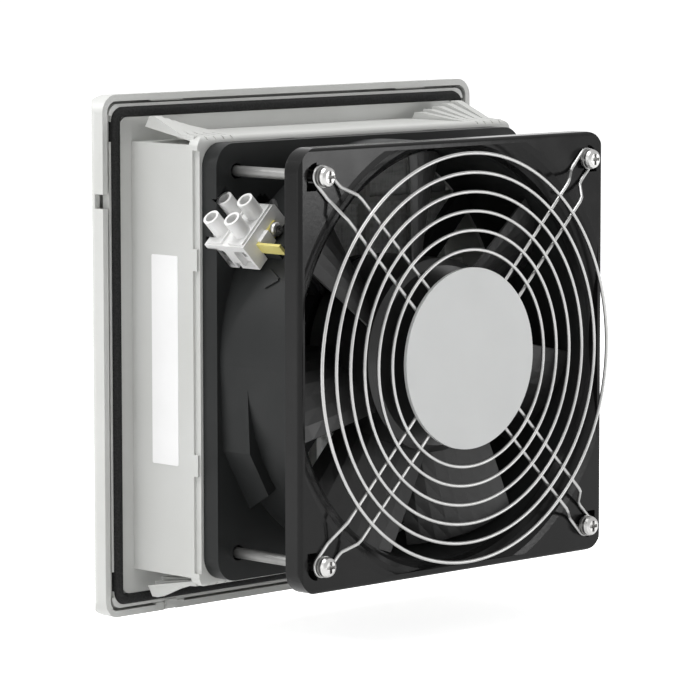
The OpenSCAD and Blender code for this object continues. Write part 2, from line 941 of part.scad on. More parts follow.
module impeller() {
    color(black) {
        turned([
            [hub_r, hub_open_y], [hub_r, hub_top_y - 2], [hub_r - 2, hub_top_y], [shaft_r, hub_top_y],
            [shaft_r, tube_end + 1], [shaft_r + 3, tube_end + 1], [shaft_r + 3, hub_top_y - hub_top_t],
            [rotor_out, hub_top_y - hub_top_t], [rotor_out, hub_open_y]
        ]);
        for (i = [0 : blade_count - 1])
            rotate([0, i * 360 / blade_count, 0])
                blade();
    }
}

module rotor_ring() {
    color([0.45, 0.45, 0.46])
        turned([[rotor_in, stack_y0 - 1], [rotor_out, stack_y0 - 1], [rotor_out, stack_y1 + 1],
            [rotor_in, stack_y1 + 1]]);
}

module shaft() {
    color(steel)
        difference() {
            rod_y(shaft_r, shaft_y0, hub_top_y - 0.5);
            rotate([-90, 0, 0])
                translate([0, 0, clip_y])
                    difference() {
                        cylinder(r = shaft_r + 1, h = clip_t);
                        translate([0, 0, -1])
                            cylinder(r = clip_groove_r, h = clip_t + 2);
                    }
        }
}

module bearing_rings(r0, r1) {
    for (y = bearing_y)
        turned([[r0, y], [r1, y], [r1, y + bearing_w], [r0, y + bearing_w]]);
}

module bearing_inner_rings() {
    color(steel)
        bearing_rings(shaft_r, inner_ring_r);
}

module bearing_outer_rings() {
    color(steel)
        bearing_rings(outer_ring_in, bearing_r);
}

module bearing_balls() {
    color([0.9, 0.9, 0.9])
        for (y = bearing_y, i = [0 : ball_count - 1])
            rotate([0, i * 360 / ball_count, 0])
                translate([0, y + bearing_w / 2, inner_ring_r + ball_r + bearing_play])
                    sphere(ball_r);
}

module retaining_clip() {
    color(steel)
        difference() {
            turned([[clip_groove_r, clip_y], [shaft_r + 0.7, clip_y], [shaft_r + 0.7, clip_y + clip_t],
                [clip_groove_r, clip_y + clip_t]]);
            translate([-clip_groove_r * 0.8, clip_y - 1, 0])
                cube([1.6 * clip_groove_r, clip_t + 2, shaft_r + 2]);
        }
}

module stator_core() {
    slots = 8;
    color([0.5, 0.5, 0.52])
        difference() {
            turned([[tube_r, stack_y0], [stator_r, stack_y0], [stator_r, stack_y1], [tube_r, stack_y1]]);
            for (i = [0 : slots - 1])
                rotate([0, (i + 0.5) * 360 / slots, 0])
                    translate([-0.9, stack_y0 - 1, coil_out - 4])
                        cube([1.8, stack_y1 - stack_y0 + 2, 8]);
        }
}

module coil(y0) {
    r = 1.2;
    rotate([-90, 0, 0])
        rotate_extrude()
            translate([coil_in, y0]) {
                translate([r, 0])
                    square([coil_out - coil_in - 2 * r, coil_h]);
                translate([0, r])
                    square([coil_out - coil_in, coil_h - 2 * r]);
                for (x = [r, coil_out - coil_in - r], y = [r, coil_h - r])
                    translate([x, y])
                        circle(r);
            }
}

module stator_windings() {
    color([0.72, 0.4, 0.2]) {
        coil(stack_y0 - coil_h);
        coil(stack_y1);
    }
}

// a round sleeve along a route, square to the route at each point
module sleeve(route, r, sides = 8) {
    last = len(route) - 1;
    dirs = [for (i = [0 : last]) route[min(i + 1, last)] - route[max(i - 1, 0)]];
    points = [
        for (i = [0 : last])
            let (
                d = dirs[i] / norm(dirs[i]),
                u = cross(d, [0, 1, 0.2]) / norm(cross(d, [0, 1, 0.2])),
                v = cross(d, u)
            )
            each [for (j = [0 : sides - 1])
                let (a = j * 360 / sides)
                route[i] + r * (cos(a) * u + sin(a) * v)]
    ];
    skin = [
        for (i = [0 : last - 1], j = [0 : sides - 1])
            let (a = i * sides + j, b = i * sides + (j + 1) % sides)
            each [[a, b + sides, b], [a, a + sides, b + sides]]
    ];
    first_end = [for (j = [0 : sides - 1]) j];
    last_end = [for (j = [sides - 1 : -1 : 0]) last * sides + j];
    polyhedron(points, concat(skin, [first_end, last_end]));
}

// a point on the frame's diagonal at the terminal's corner, moved sideways
function diagonal_point(r, y, side) =
    [(r + side) / sqrt(2), y, (r - side) / sqrt(2)];

// from a terminal pole through the barrel, along a strut and up into the winding
function lead_route(i) =
    let (side = (1 - 2 * i) * (lead_r + 0.05))
    let (out = tower_tip + clamp_x)
    let (along = terminal_shift - lead_end_z)
    [
        diagonal_point(out, pole_y[i], along),
        diagonal_point(out, pole_y[i], along - 3.5),
        diagonal_point(out - 0.3, pole_y[i] - 3 * i, 1 + side),
        diagonal_point(barrel_out, lead_bed_y + 1.2, side),
        diagonal_point(barrel_r - 3, lead_bed_y, side),
        diagonal_point(motor_plate_r, lead_bed_y, side),
        diagonal_point(coil_out + 2.5, lead_bed_y + 1, side),
        diagonal_point(coil_out - 1, stack_y0 - coil_h + 1, side)
    ];

module motor_leads() {
    color(black)
        for (i = [0, 1])
            sleeve(lead_route(i), lead_r);
}

module wire_ring(r, y) {
    rotate([-90, 0, 0])
        translate([0, 0, y])
            rotate_extrude()
                translate([r, 0])
                    circle(wire_d / 2, $fn = 24);
}

module guard_rings() {
    color(steel)
        for (i = [0 : ring_count - 1])
            wire_ring(ring_outer_r - i * ring_pitch, ring_y);
}

// one leg is a single wire: out from the disc, down to the frame, round the screw and back.
// It lies in a plane where x runs outwards along the frame's diagonal.
function leg_half(side) =
    let (turn_in = loop_at - loop_r - 9.5)
    [
        [disc_r - 3, leg_y, side * leg_gap / 2],
        [turn_in - 1, leg_y, side * leg_gap / 2],
        [turn_in + 0.5, leg_y - 0.4, side * leg_gap / 2],
        [turn_in + 4.5, loop_y + 0.4, side * loop_mid],
        [turn_in + 6, loop_y, side * loop_mid]
    ];

function loop_arc() =
    [for (a = [-90 : 18 : 90]) [loop_at + loop_mid * cos(a), loop_y, loop_mid * sin(a)]];

function reversed(list) = [for (i = [len(list) - 1 : -1 : 0]) list[i]];

module guard_leg() {
    sleeve(concat(leg_half(-1), loop_arc(), reversed(leg_half(1))), wire_d / 2, 10);
}

module guard_legs() {
    color(steel)
        for (a = [45 : 90 : 315])
            rotate([0, a, 0])
                guard_leg();
}

module guard_disc() {
    color([0.79, 0.8, 0.79])
        rod_y(disc_r, leg_y + wire_d / 2, leg_y + wire_d / 2 + disc_t);
}

module fan_screws() {
    color(steel)
        at_corners() {
            rod_y(screw_r, seat_y - thread_len, head_y);
            translate([0, head_y, 0])
                pan_head(head_r, head_h);
        }
}

module screw_washers() {
    color(steel)
        at_corners()
            turned([
                [washer_hole_r, washer_y],
                [washer_r, washer_y],
                [washer_r, head_y],
                [washer_hole_r, head_y]
            ]);
}

// local frame of the terminal: x along the towers with 0 at their tips, y as the fan axis
module terminal_place() {
    rotate([0, -tower_angle, 0])
        translate([tower_tip, 0, -terminal_shift])
            children();
}

module terminal_pad() {
    translate([body_x0 - 3, body_y0 + 3, pad_z])
        cube([3, body_y1 - body_y0 + 2.5, 5 - pad_z]);
}

// room for the terminal in the outer flange
module terminal_relief() {
    translate([body_x0, body_y0 - fit, -terminal_len / 2 - fit])
        cube([terminal_h + fit, flange_t + 2, terminal_len + 2 * fit]);
    translate([body_x0 - skirt_h - fit, body_y0 - fit, -terminal_len / 2 - fit])
        cube([skirt_h + 1, flange_t + 2, skirt_len + 2 * fit]);
    for (s = clamp_spots())
        translate([body_x1 - 1, s[0], s[1]])
            rotate([0, 90, 0])
                cylinder(r = tower_out_r + fit, h = tower_len + 3);
}

// the middles of the four clamps, as [y, z]
function clamp_spots() = [for (y = pole_y, z = [-0.5, 0.5]) [y, z * clamp_pitch]];

// side view of one housing, from its wire entry to its chamfered end
module housing(w, x1, z0, z1) {
    rotate([-90, 0, 0])
        linear_extrude(w)
            polygon([
                [body_x0, -z0],
                [x1, -z0],
                [x1, -z1 + end_chamfer],
                [x1 - end_chamfer, -z1],
                [body_x0, -z1]
            ]);
}

module terminal_body() {
    color([0.93, 0.93, 0.92])
        terminal_place()
            difference() {
                union() {
                    translate([0, body_y0, 0])
                        housing(body_y1 - body_y0, body_x1 - pole_rise, -terminal_len / 2, terminal_len / 2);
                    for (y = pole_y) {
                        translate([0, y - pole_half, 0])
                            housing(2 * pole_half, body_x1, 0.6 - terminal_len / 2, terminal_len / 2 - 0.6);
                        translate([body_x0 - skirt_h, y - skirt_side[0], -terminal_len / 2])
                            cube([skirt_h + 1, skirt_side[0] + skirt_side[1], skirt_len]);
                    }
                    for (s = clamp_spots())
                        translate([body_x1 - 1, s[0], s[1]])
                            rotate([0, 90, 0])
                                cylinder(r = tower_out_r, h = tower_len + 1);
                    // bridge over the earth tab
                    translate([earth_x - tab_w / 2 - tab_rim, body_y1 - 0.5, bridge_z0])
                        cube([tab_w + 2 * tab_rim, earth_t + 1.1, bridge_z1 - bridge_z0]);
                }
                for (s = clamp_spots())
                    translate([clamp_x, s[0], s[1]])
                        rotate([0, 90, 0])
                            cylinder(r = clamp_screw_r + 0.4, h = 1 - clamp_x);
                for (y = pole_y) {
                    translate([clamp_x - sleeve_w / 2, y - sleeve_w / 2, -terminal_len / 2 - 1])
                        cube([sleeve_w, sleeve_w, terminal_len + 2]);
                    translate([body_x0 - skirt_h + 0.8, y - entry_w / 2, -terminal_len / 2 - 1])
                        cube([entry_h, entry_w, entry_d + 1]);
                }
                translate([earth_x, 0, earth_z])
                    rod_y(earth_screw_r, body_y1 - earth_depth, body_y1 + 1);
                translate([earth_x - tab_w / 2, body_y1, earth_z - tab_drop - 1])
                    cube([tab_w, earth_t, tab_drop + tab_w]);
            }
}

module terminal_sleeves() {
    color(steel)
        terminal_place()
            difference() {
                for (y = pole_y)
                    translate([clamp_x - sleeve_w / 2, y - sleeve_w / 2, -terminal_len / 2 + entry_d])
                        cube([sleeve_w, sleeve_w, terminal_len - entry_d - 1.2]);
                for (y = pole_y)
                    translate([clamp_x, y, -terminal_len])
                        cylinder(r = wire_bore_r, h = 2 * terminal_len);
                for (s = clamp_spots())
                    translate([clamp_x, s[0], s[1]])
                        rotate([0, 90, 0])
                            cylinder(r = clamp_screw_r, h = 1 - clamp_x);
            }
}

module terminal_screws() {
    color(steel)
        terminal_place()
            for (s = clamp_spots())
                translate([clamp_x + 0.6, s[0], s[1]])
                    rotate([0, 90, 0])
                        difference() {
                            cylinder(r = clamp_screw_r, h = 4.6);
                            translate([-2, -0.3, 3.6])
                                cube([4, 0.6, 2]);
                        }
}

// flat plate under the screw, bent out into a tongue
module earth_tab() {
    color([0.9, 0.86, 0.5])
        terminal_place()
            difference() {
                union() {
                    translate([earth_x - tab_w / 2, body_y1, earth_z - tab_drop])
                        cube([tab_w, earth_t, tab_drop + tab_w / 2]);
                    translate([earth_x - tab_w / 2, body_y1, earth_z - tab_drop])
                        cube([tab_w, tongue_len, earth_t]);
                }
                translate([earth_x, 0, earth_z])
                    rod_y(earth_hole_r, body_y1 - 1, body_y1 + 2);
            }
}

module earth_screw() {
    color(steel)
        terminal_place()
            translate([earth_x, body_y1 + earth_t, earth_z]) {
                pan_head(earth_head_r, 1.5);
                rod_y(earth_screw_r, -earth_t - earth_depth, 0);
            }
}

front_cover();
base_frame();
panel_seal();
filter_mat();
fan_frame();
impeller();
rotor_ring();
shaft();
bearing_inner_rings();
bearing_outer_rings();
bearing_balls();
retaining_clip();
stator_core();
stator_windings();
motor_leads();
guard_rings();
guard_legs();
guard_disc();
fan_screws();
screw_washers();
terminal_body();
terminal_sleeves();
terminal_screws();
earth_tab();
earth_screw();
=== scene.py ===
import math

import bpy
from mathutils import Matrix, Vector


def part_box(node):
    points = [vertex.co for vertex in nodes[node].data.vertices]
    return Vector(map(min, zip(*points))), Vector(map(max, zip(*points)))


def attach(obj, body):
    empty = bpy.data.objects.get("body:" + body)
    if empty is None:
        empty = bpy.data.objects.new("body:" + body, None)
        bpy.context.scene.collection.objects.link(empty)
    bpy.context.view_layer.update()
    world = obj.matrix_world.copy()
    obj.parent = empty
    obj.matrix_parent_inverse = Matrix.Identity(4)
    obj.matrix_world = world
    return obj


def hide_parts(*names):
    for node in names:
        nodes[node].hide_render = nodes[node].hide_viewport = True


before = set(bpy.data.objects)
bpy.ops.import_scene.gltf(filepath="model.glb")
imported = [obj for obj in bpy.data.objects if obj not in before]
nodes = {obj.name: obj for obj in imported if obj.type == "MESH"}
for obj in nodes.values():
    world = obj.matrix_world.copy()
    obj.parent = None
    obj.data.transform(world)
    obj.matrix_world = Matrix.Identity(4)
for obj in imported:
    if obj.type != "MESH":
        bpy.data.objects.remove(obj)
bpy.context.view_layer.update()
print("frame loaded:", len(nodes), "nodes")


def turnTowards(piece, place, aim):
    piece.rotation_euler = (Vector(aim) - Vector(place)).to_track_quat("-Z", "Y").to_euler()


# camera at the photograph's place
shot = {
    "place": (0.82832, 0.86081, 0.12792), "aim": (0.012106, 0.0340, 0.000594),
    "rollDegrees": -0.06, "lens": 215.5, "sensor": 36, "nearest": 0.05, "farthest": 200,
}

bpy.ops.object.camera_add(location=shot["place"])
camera = bpy.context.object
camera.name = "photoCamera"
turnTowards(camera, shot["place"], shot["aim"])
camera.rotation_euler.rotate_axis("Z", math.radians(shot["rollDegrees"]))
camera.data.lens = shot["lens"]
camera.data.sensor_width = shot["sensor"]
camera.data.clip_start = shot["nearest"]
camera.data.clip_end = shot["farthest"]
bpy.context.scene.camera = camera
print("camera placed")

# noise lies mostly between these two values
noiseSpan = (0.3, 0.7)
octaves = {"patches": 4.0, "smears": 3.0, "grain": 2.0, "fibres": 5.0}
# how much finer the smears of gloss are than the patches of tone
smearFineness = 3.1
usualGrainStrength = 0.6


def emptyMaterial(name):
    material = bpy.data.materials.new(name)
    material.use_nodes = True
    tree = material.node_tree
    tree.nodes.clear()
    surface = tree.nodes.new("ShaderNodeOutputMaterial").inputs["Surface"]
    return material, tree, surface


# every pattern reads Object coordinates in metres
def startMaterial(name):
    material, tree, surface = emptyMaterial(name)
    shader = tree.nodes.new("ShaderNodeBsdfPrincipled")
    tree.links.new(shader.outputs["BSDF"], surface)
    place = tree.nodes.new("ShaderNodeTexCoord").outputs["Object"]
    return material, tree, shader, place


def addNoise(tree, place, scale, detail, stretch=None):
    if stretch:
        mapping = tree.nodes.new("ShaderNodeMapping")
        mapping.inputs["Scale"].default_value = stretch
        tree.links.new(place, mapping.inputs["Vector"])
        place = mapping.outputs["Vector"]
    noise = tree.nodes.new("ShaderNodeTexNoise")
    noise.inputs["Scale"].default_value = scale
    noise.inputs["Detail"].default_value = detail
    tree.links.new(place, noise.inputs["Vector"])
    return noise.outputs["Fac"]


def addRamp(tree, value, span, dark, light):
    ramp = tree.nodes.new("ShaderNodeValToRGB")
    for element, spot, tone in zip(ramp.color_ramp.elements, span, (dark, light)):
        element.position = spot
        element.color = (*tone, 1)
    tree.links.new(value, ramp.inputs["Fac"])
    return ramp.outputs["Color"]


def addRange(tree, value, low, high):
    spread = tree.nodes.new("ShaderNodeMapRange")
    spread.inputs["From Min"].default_value = noiseSpan[0]
    spread.inputs["From Max"].default_value = noiseSpan[1]
    spread.inputs["To Min"].default_value = low
    spread.inputs["To Max"].default_value = high
    tree.links.new(value, spread.inputs["Value"])
    return spread.outputs["Result"]


# a Mix node has sockets for each data type under the same names
def addMix(tree, kind, share, first, second):
    mix = tree.nodes.new("ShaderNodeMix")
    mix.data_type = kind
    ends = {socket.name: socket for socket in mix.inputs if socket.enabled}
    tree.links.new(share, ends["Factor"])
    tree.links.new(first, ends["A"])
    tree.links.new(second, ends["B"])
    return next(socket for socket in mix.outputs if socket.enabled)


def addBump(tree, shader, height, depth, strength):
    bump = tree.nodes.new("ShaderNodeBump")
    bump.inputs["Strength"].default_value = strength
    bump.inputs["Distance"].default_value = depth
    tree.links.new(height, bump.inputs["Height"])
    tree.links.new(bump.outputs["Normal"], shader.inputs["Normal"])


# moulded, painted and rolled surfaces: patches of tone, a fine grain and uneven gloss
def grainedSurface(name, look):
    material, tree, shader, place = startMaterial(name)
    shader.inputs["Metallic"].default_value = look.get("metallic", 0.0)
    patches = addNoise(tree, place, look["patchScale"], octaves["patches"])
    tone = addRamp(tree, patches, noiseSpan, look["dark"], look["light"])
    tree.links.new(tone, shader.inputs["Base Color"])
    smears = addNoise(tree, place, look["patchScale"] * smearFineness, octaves["smears"])
    tree.links.new(addRange(tree, smears, *look["roughness"]), shader.inputs["Roughness"])
    grain = addNoise(tree, place, look["grainScale"], octaves["grain"], look.get("grainStretch"))
    strength = look.get("grainStrength", usualGrainStrength)
    addBump(tree, shader, grain, look["grainDepth"], strength)
    return material


greyPlastic = grainedSurface("greyPlastic", {
    "dark": (0.55, 0.555, 0.535), "light": (0.585, 0.59, 0.575), "patchScale": 30,
    "roughness": (0.42, 0.52), "grainScale": 2600, "grainDepth": 0.00003,
})
terminalPlastic = grainedSurface("terminalPlastic", {
    "dark": (0.75, 0.75, 0.74), "light": (0.80, 0.80, 0.795), "patchScale": 90,
    "roughness": (0.3, 0.4), "grainScale": 3200, "grainDepth": 0.00002,
})
bladePlastic = grainedSurface("bladePlastic", {
    "dark": (0.010, 0.010, 0.010), "light": (0.017, 0.017, 0.017), "patchScale": 40,
    "roughness": (0.30, 0.38), "grainScale": 1800, "grainDepth": 0.00001,
})
leadSleeve = grainedSurface("leadSleeve", {
    "dark": (0.012, 0.012, 0.012), "light": (0.022, 0.022, 0.022), "patchScale": 200,
    "roughness": (0.4, 0.5), "grainScale": 2500, "grainDepth": 0.00002,
})
platedWire = grainedSurface("platedWire", {
    "dark": (0.36, 0.36, 0.355), "light": (0.41, 0.41, 0.405), "patchScale": 160,
    "metallic": 1.0, "roughness": (0.34, 0.40),
    "grainScale": 3000, "grainDepth": 0.000003, "grainStrength": 0.2,
})
discSheet = grainedSurface("discSheet", {
    "dark": (0.60, 0.61, 0.605), "light": (0.64, 0.65, 0.645), "patchScale": 35,
    "roughness": (0.36, 0.46),
    "grainScale": 1500, "grainDepth": 0.00001, "grainStretch": (0.15, 1, 1),
})
screwSteel = grainedSurface("screwSteel", {
    "dark": (0.43, 0.425, 0.42), "light": (0.49, 0.49, 0.48), "patchScale": 120,
    "metallic": 1.0, "roughness": (0.34, 0.42),
    "grainScale": 4000, "grainDepth": 0.000002, "grainStrength": 0.2,
})
darkSteel = grainedSurface("darkSteel", {
    "dark": (0.20, 0.20, 0.21), "light": (0.30, 0.30, 0.31), "patchScale": 120,
    "metallic": 1.0, "roughness": (0.35, 0.5), "grainScale": 2500, "grainDepth": 0.00002,
})
earthYellow = grainedSurface("earthYellow", {
    "dark": (0.72, 0.62, 0.16), "light": (0.82, 0.74, 0.28), "patchScale": 150,
    "metallic": 0.25, "roughness": (0.3, 0.42), "grainScale": 2600, "grainDepth": 0.00002,
})
stickerPaper = grainedSurface("stickerPaper", {
    "dark": (0.86, 0.86, 0.86), "light": (0.90, 0.90, 0.90), "patchScale": 60,
    "roughness": (0.3, 0.4), "grainScale": 2000, "grainDepth": 0.00001,
})


# dull up to one height along the fan's axis, glossy from another, each tone a dark and a light
def halfGlossySurface(name, look):
    material, tree, shader, place = startMaterial(name)
    shader.inputs["Metallic"].default_value = look["metallic"]
    shader.inputs["Specular IOR Level"].default_value = look["specular"]
    axes = tree.nodes.new("ShaderNodeSeparateXYZ")
    tree.links.new(place, axes.inputs["Vector"])
    height = tree.nodes.new("ShaderNodeMapRange")
    height.inputs["From Min"].default_value = look["dullUpTo"]
    height.inputs["From Max"].default_value = look["glossyFrom"]
    tree.links.new(axes.outputs["Y"], height.inputs["Value"])
    glossy = height.outputs["Result"]
    patches = addNoise(tree, place, look["patchScale"], octaves["patches"])
    smears = addNoise(tree, place, look["patchScale"] * smearFineness, octaves["smears"])
    dullAndShadedTone = addRamp(tree, patches, noiseSpan, *look["dullAndShadedTone"])
    glossyTone = addRamp(tree, patches, noiseSpan, *look["glossyTone"])
    tone = addMix(tree, "RGBA", glossy, dullAndShadedTone, glossyTone)
    tree.links.new(tone, shader.inputs["Base Color"])
    dullSheen = addRange(tree, smears, *look["dullRoughness"])
    glossySheen = addRange(tree, smears, *look["glossyRoughness"])
    sheen = addMix(tree, "FLOAT", glossy, dullSheen, glossySheen)
    tree.links.new(sheen, shader.inputs["Roughness"])
    peel = addNoise(tree, place, look["peelScale"], octaves["grain"])
    addBump(tree, shader, peel, look["peelDepth"], look["peelStrength"])
    return material


# black die casting: the flange inside the cabinet has a glossy coat, the rest a dull one
blackPaint = halfGlossySurface("blackPaint", {
    "metallic": 0.0, "dullUpTo": 0.0572, "glossyFrom": 0.0584, "specular": 0.13, "patchScale": 45,
    "dullAndShadedTone": ((0.017, 0.018, 0.018), (0.022, 0.023, 0.023)), "dullRoughness": (0.42, 0.52),
    "glossyTone": ((0.009, 0.009, 0.009), (0.013, 0.013, 0.013)), "glossyRoughness": (0.10, 0.15),
    "peelScale": 900, "peelDepth": 0.00003, "peelStrength": 0.35,
})
# long screws: a rougher shank, darkened with painted shade where it lies between the flanges, and
# a bright head
longScrew = halfGlossySurface("longScrew", {
    "metallic": 1.0, "dullUpTo": 0.0600, "glossyFrom": 0.0640, "specular": 0.5, "patchScale": 120,
    "dullAndShadedTone": ((0.20, 0.20, 0.195), (0.25, 0.25, 0.245)), "dullRoughness": (0.42, 0.50),
    "glossyTone": ((0.44, 0.435, 0.43), (0.50, 0.50, 0.49)), "glossyRoughness": (0.28, 0.34),
    "peelScale": 4000, "peelDepth": 0.000002, "peelStrength": 0.35,
})


# closed cells of the sealing foam
def foamSurface(name, look):
    material, tree, shader, place = startMaterial(name)
    cells = tree.nodes.new("ShaderNodeTexVoronoi")
    cells.inputs["Scale"].default_value = look["cellScale"]
    tree.links.new(place, cells.inputs["Vector"])
    distance = cells.outputs["Distance"]
    tone = addRamp(tree, distance, look["span"], look["dark"], look["light"])
    tree.links.new(tone, shader.inputs["Base Color"])
    shader.inputs["Roughness"].default_value = look["roughness"]
    shader.inputs["Specular IOR Level"].default_value = look["specular"]
    addBump(tree, shader, distance, look["cellDepth"], look["cellStrength"])
    return material


sealFoam = foamSurface("sealFoam", {
    "dark": (0.006, 0.006, 0.006), "light": (0.018, 0.018, 0.018), "span": (0.0, 0.8),
    "roughness": 0.85, "specular": 0.25,
    "cellScale": 1800, "cellDepth": 0.00012, "cellStrength": 0.7,
})


# loose fibres of the filter fleece, drawn out along X and along Z
def fleeceSurface(name, look):
    material, tree, shader, place = startMaterial(name)
    draw = look["fibreDraw"]
    fibresAlong = addNoise(tree, place, look["fibreScale"], octaves["fibres"], (draw, 1, 1))
    fibresUp = addNoise(tree, place, look["fibreScale"], octaves["fibres"], (1, 1, draw))
    total = tree.nodes.new("ShaderNodeMath")
    total.operation = "ADD"
    tree.links.new(fibresAlong, total.inputs[0])
    tree.links.new(fibresUp, total.inputs[1])
    tangle = total.outputs["Value"]
    tone = addRamp(tree, tangle, look["span"], look["dark"], look["light"])
    tree.links.new(tone, shader.inputs["Base Color"])
    shader.inputs["Roughness"].default_value = look["roughness"]
    shader.inputs["Sheen Weight"].default_value = look["sheen"]
    addBump(tree, shader, tangle, look["fibreDepth"], look["fibreStrength"])
    return material


filterFleece = fleeceSurface("filterFleece", {
    "dark": (0.62, 0.63, 0.61), "light": (0.86, 0.87, 0.86), "span": (0.75, 1.0),
    "roughness": 0.9, "sheen": 0.3,
    "fibreScale": 900, "fibreDraw": 0.12, "fibreDepth": 0.0006, "fibreStrength": 0.8,
})


# turns of enamelled wire and stacked sheets show as fine bands along the fan's axis
def bandedSurface(name, look):
    material, tree, shader, place = startMaterial(name)
    wave = tree.nodes.new("ShaderNodeTexWave")
    wave.wave_type = "BANDS"
    wave.bands_direction = "Y"
    wave.inputs["Scale"].default_value = look["bandScale"]
    wave.inputs["Distortion"].default_value = look["waver"]
    tree.links.new(place, wave.inputs["Vector"])
    bands = wave.outputs["Fac"]
    tone = addRamp(tree, bands, look["span"], look["dark"], look["light"])
    tree.links.new(tone, shader.inputs["Base Color"])
    shader.inputs["Metallic"].default_value = look["metallic"]
    shader.inputs["Roughness"].default_value = look["roughness"]
    addBump(tree, shader, bands, look["bandDepth"], look["bandStrength"])
    return material


copperTurns = bandedSurface("copperTurns", {
    "dark": (0.24, 0.08, 0.03), "light": (0.62, 0.27, 0.11), "span": (0.1, 0.8),
    "metallic": 0.8, "roughness": 0.32,
    "bandScale": 420, "waver": 1.2, "bandDepth": 0.0002, "bandStrength": 0.8,
})
stackedSheets = bandedSurface("stackedSheets", {
    "dark": (0.12, 0.12, 0.125), "light": (0.30, 0.30, 0.31), "span": (0.1, 0.8),
    "metallic": 0.9, "roughness": 0.42,
    "bandScale": 320, "waver": 0.1, "bandDepth": 0.00008, "bandStrength": 0.8,
})
print("materials made")

# the seal and the filter mat are made anew below, with finishes of their own
finishes = {
    "front_cover": greyPlastic,
    "base_frame": greyPlastic,
    "fan_frame": blackPaint,
    "impeller": bladePlastic,
    "rotor_ring": darkSteel,
    "shaft": screwSteel,
    "bearing_inner_rings": screwSteel,
    "bearing_outer_rings": screwSteel,
    "bearing_balls": screwSteel,
    "retaining_clip": darkSteel,
    "stator_core": stackedSheets,
    "stator_windings": copperTurns,
    "motor_leads": leadSleeve,
    "guard_rings": platedWire,
    "guard_legs": platedWire,
    "guard_disc": discSheet,
    "fan_screws": longScrew,
    "screw_washers": screwSteel,
    "terminal_body": terminalPlastic,
    "terminal_sleeves": screwSteel,
    "terminal_screws": screwSteel,
    "earth_tab": earthYellow,
    "earth_screw": screwSteel,
}
for nodeName, finish in finishes.items():
    nodes[nodeName].data.materials.clear()
    nodes[nodeName].data.materials.append(finish)
print("finishes on", len(finishes), "nodes")


def applyPlace(piece):
    bpy.ops.object.select_all(action="DESELECT")
    piece.select_set(True)
    bpy.context.view_layer.objects.active = piece
    bpy.ops.object.transform_apply(location=True, rotation=True, scale=True)


# leaves edit mode with nothing selected, so that the caller can pick edges or faces
def clearPicks(kind):
    bpy.ops.object.mode_set(mode="EDIT")
    bpy.ops.mesh.select_mode(type=kind)
    bpy.ops.mesh.select_all(action="DESELECT")
    bpy.ops.object.mode_set(mode="OBJECT")


# blank white sticker on the collar's side
sticker = {
    "face": 0.0617, "low": (0.0068, -0.0289), "high": (0.0174, 0.0289),
    "thick": 0.00012, "corner": 0.0005, "cornerSteps": 4,
}


def makeSticker():
    middle = [(a + b) / 2 for a, b in zip(sticker["low"], sticker["high"])]
    size = [b - a for a, b in zip(sticker["low"], sticker["high"])]
    halfThick = sticker["thick"] / 2
    bpy.ops.mesh.primitive_cube_add(size=1, location=(sticker["face"] + halfThick, *middle))
    piece = bpy.context.object
    piece.name = "blankSticker"
    piece.scale = (sticker["thick"], *size)
    applyPlace(piece)
    clearPicks("EDGE")
    for edge in piece.data.edges:
        a, b = (piece.data.vertices[i].co for i in edge.vertices)
        edge.select = abs(a.x - b.x) > halfThick
    bpy.ops.object.mode_set(mode="EDIT")
    bpy.ops.mesh.bevel(offset=sticker["corner"], segments=sticker["cornerSteps"], affect="EDGES")
    bpy.ops.object.mode_set(mode="OBJECT")
    piece.data.materials.append(stickerPaper)
    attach(piece, "base")


makeSticker()
print("sticker made")

# foam bead in the flange's groove: a flat foot below the lip and a domed back,
# whose steps go inward and upward
bead = {
    "foot": 0.0010, "width": 0.0028, "corner": 0.004, "cornerSteps": 8, "smoothDegrees": 55,
    "dome": ((0.00015, 0.00060), (0.00025, 0.00045), (0.00035, 0.00035)),
}


def makeBead():
    low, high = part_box("panel_seal")
    turned = (math.radians(-90), 0, 0)
    bpy.ops.mesh.primitive_plane_add(
        size=high[0] - low[0], location=(0, low[1], 0), rotation=turned)
    piece = bpy.context.object
    piece.name = "sealBead"
    applyPlace(piece)
    bpy.ops.object.mode_set(mode="EDIT")
    bpy.ops.mesh.select_all(action="SELECT")
    bpy.ops.mesh.bevel(offset=bead["corner"], segments=bead["cornerSteps"], affect="VERTICES")
    bpy.ops.mesh.select_all(action="SELECT")
    bpy.ops.mesh.inset(thickness=bead["width"], depth=0)
    bpy.ops.mesh.delete(type="FACE")
    bpy.ops.mesh.select_all(action="SELECT")
    bpy.ops.mesh.extrude_region_move(TRANSFORM_OT_translate={"value": (0, bead["foot"], 0)})
    for inward, upward in bead["dome"]:
        bpy.ops.mesh.inset(thickness=inward, depth=upward)
    bpy.ops.mesh.select_all(action="SELECT")
    bpy.ops.mesh.normals_make_consistent(inside=False)
    bpy.ops.object.mode_set(mode="OBJECT")
    bpy.ops.object.shade_smooth_by_angle(angle=math.radians(bead["smoothDegrees"]))
    piece.data.materials.append(sealFoam)
    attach(piece, "base")
    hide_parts("panel_seal")


# filter fleece: a cut mat with soft edges and uneven, lumpy faces
fleece = {
    "lump": 0.0007, "edge": 0.0022, "edgeSteps": 3, "cuts": 30, "seed": 4,
    "faceNormal": 0.99, "settle": 0.5, "smoothDegrees": 60,
}


